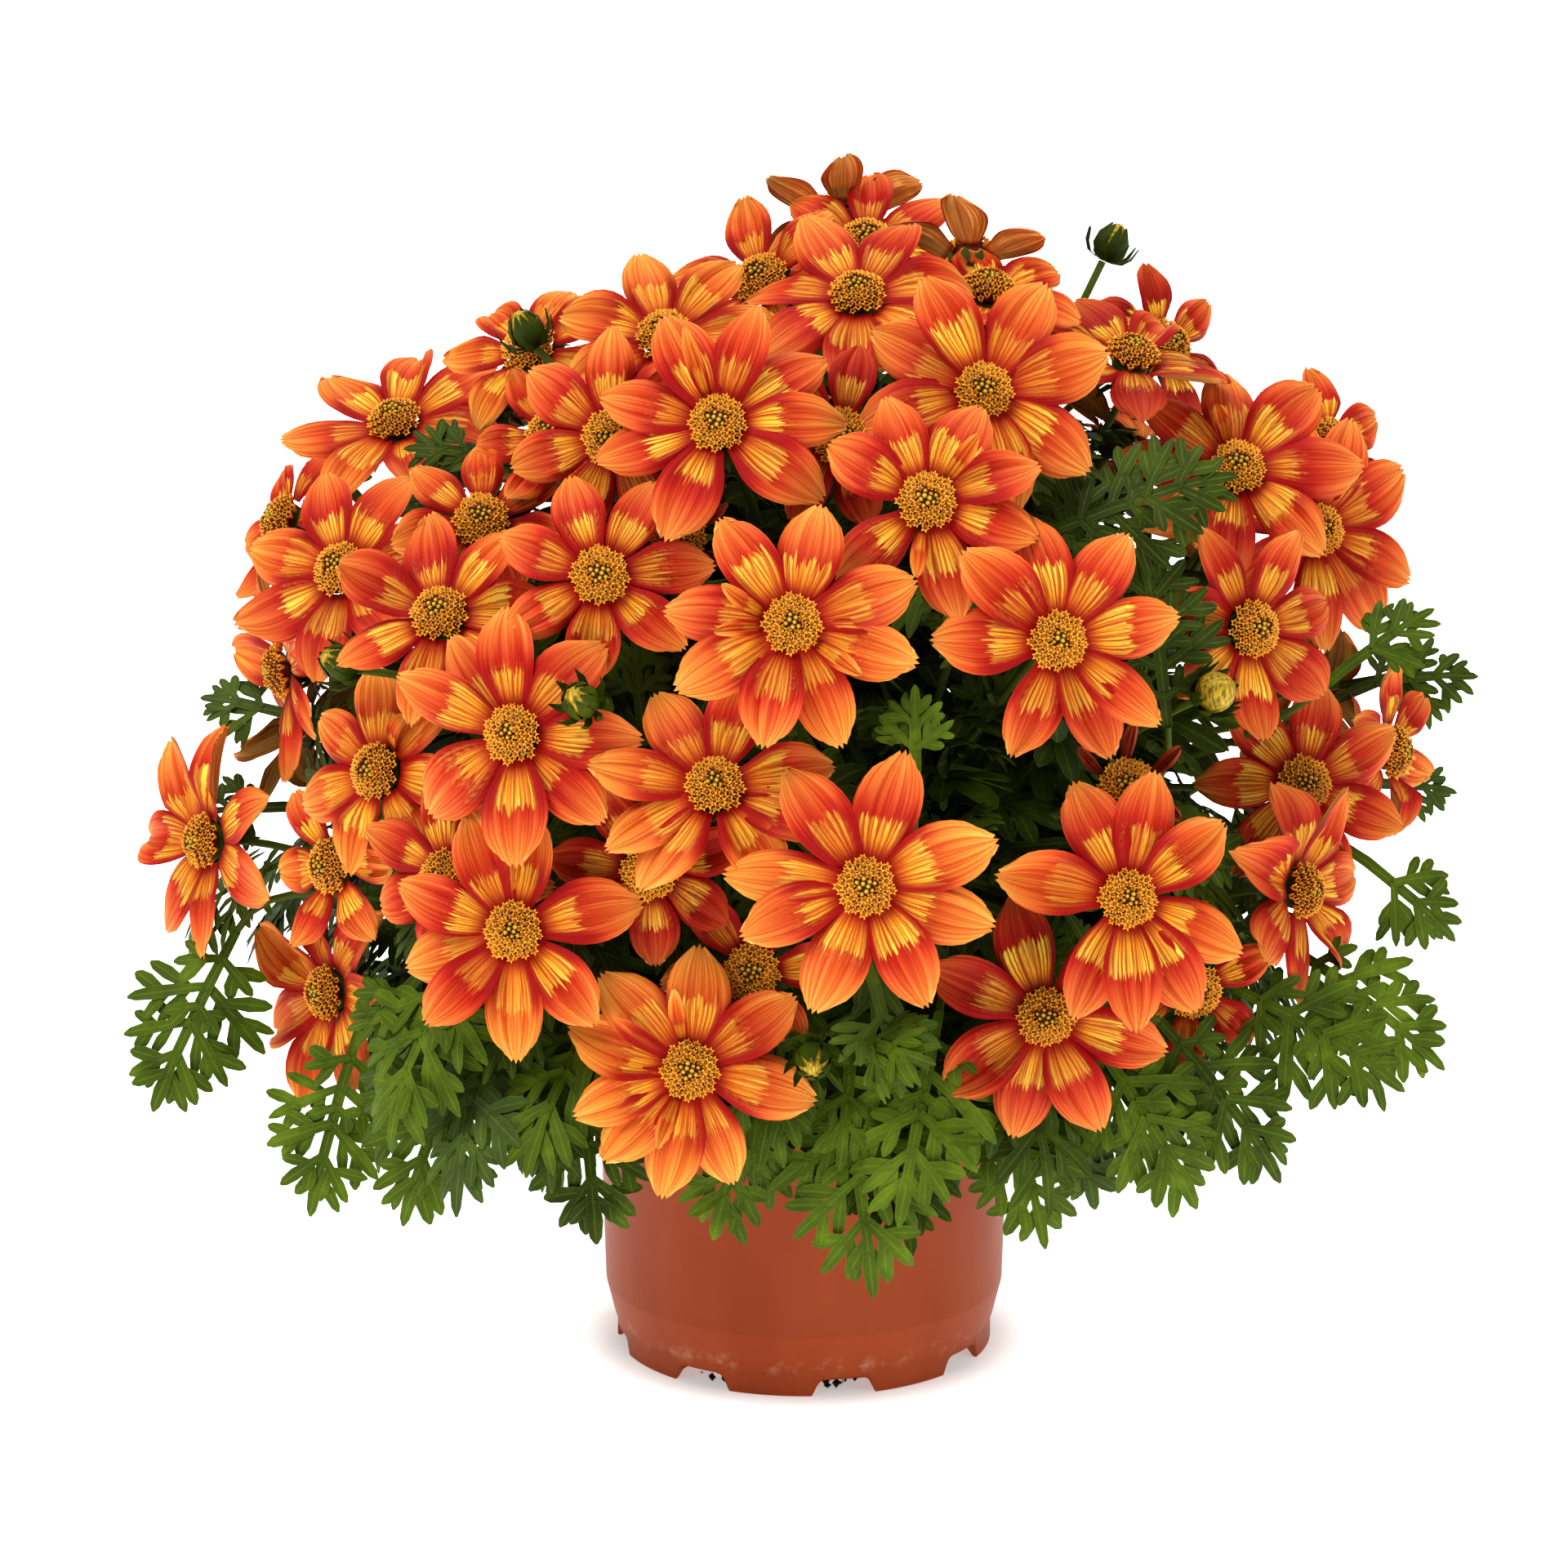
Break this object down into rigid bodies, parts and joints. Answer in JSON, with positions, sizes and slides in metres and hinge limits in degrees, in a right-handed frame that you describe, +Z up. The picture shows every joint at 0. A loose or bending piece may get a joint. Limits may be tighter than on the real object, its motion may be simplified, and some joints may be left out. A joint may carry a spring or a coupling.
{
  "type": "potted bidens",
  "caption": "Bushy bidens plant in full bloom, orange daisy-like flowers on divided leaves, in a small round plastic nursery pot of soil.",
  "frame": {"origin": "on the pot's upright axis, at the level of the surface the pot stands on; the bush spreads a little more to one side, so its box is centred within about two millimetres of the axis", "axes": "+Z up along the pot's axis; -Y is the front, the side the picture shows; +X to the right of someone facing the front"},
  "size_m": [0.3314, 0.2882, 0.2908],
  "materials": {
    "pot_plastic": "thin thermoformed polypropylene, terracotta brown, semi-matt",
    "potting_soil": "moist dark peat and coir, granular",
    "foliage": "soft finely hairy green leaves and stems",
    "petals": "velvety ray florets, orange shading to red with golden streaks"
  },
  "bodies": {
    "root": {"pot": "pot_plastic", "soil": "potting_soil", "leafy_plant_1": "foliage", "leafy_plant_2": "foliage", "leafy_plant_3": "foliage", "leafy_plant_4": "foliage", "leafy_plant_5": "foliage", "bloom_01": "petals", "bloom_02": "petals", "bloom_03": "petals", "bloom_04": "petals", "bloom_05": "petals", "bloom_06": "petals", "bloom_07": "petals", "bloom_08": "petals", "bloom_09": "petals", "bloom_10": "petals", "bloom_11": "petals", "bloom_12": "petals", "bloom_13": "petals", "bloom_14": "petals", "bloom_15": "petals", "bloom_16": "petals", "bloom_17": "petals", "bloom_18": "petals", "bloom_19": "petals", "bloom_20": "petals", "bloom_21": "petals", "bloom_22": "petals", "bloom_23": "petals", "bloom_24": "petals", "bloom_25": "petals", "bloom_26": "petals", "bloom_27": "petals", "bloom_28": "petals", "bloom_29": "petals", "bloom_30": "petals", "bloom_31": "petals", "bloom_32": "petals", "bloom_33": "petals", "bloom_34": "petals", "bloom_35": "petals", "bloom_36": "petals", "bloom_37": "petals", "bloom_38": "petals", "bloom_39": "petals", "bloom_40": "petals", "bloom_41": "petals", "bloom_42": "petals", "bloom_43": "petals", "bloom_44": "petals", "bloom_45": "petals", "bloom_46": "petals", "bloom_47": "petals", "bloom_48": "petals", "bloom_49": "petals", "bloom_50": "petals", "bloom_51": "petals", "bloom_52": "petals", "bloom_53": "petals"}
  },
  "joints": []
}
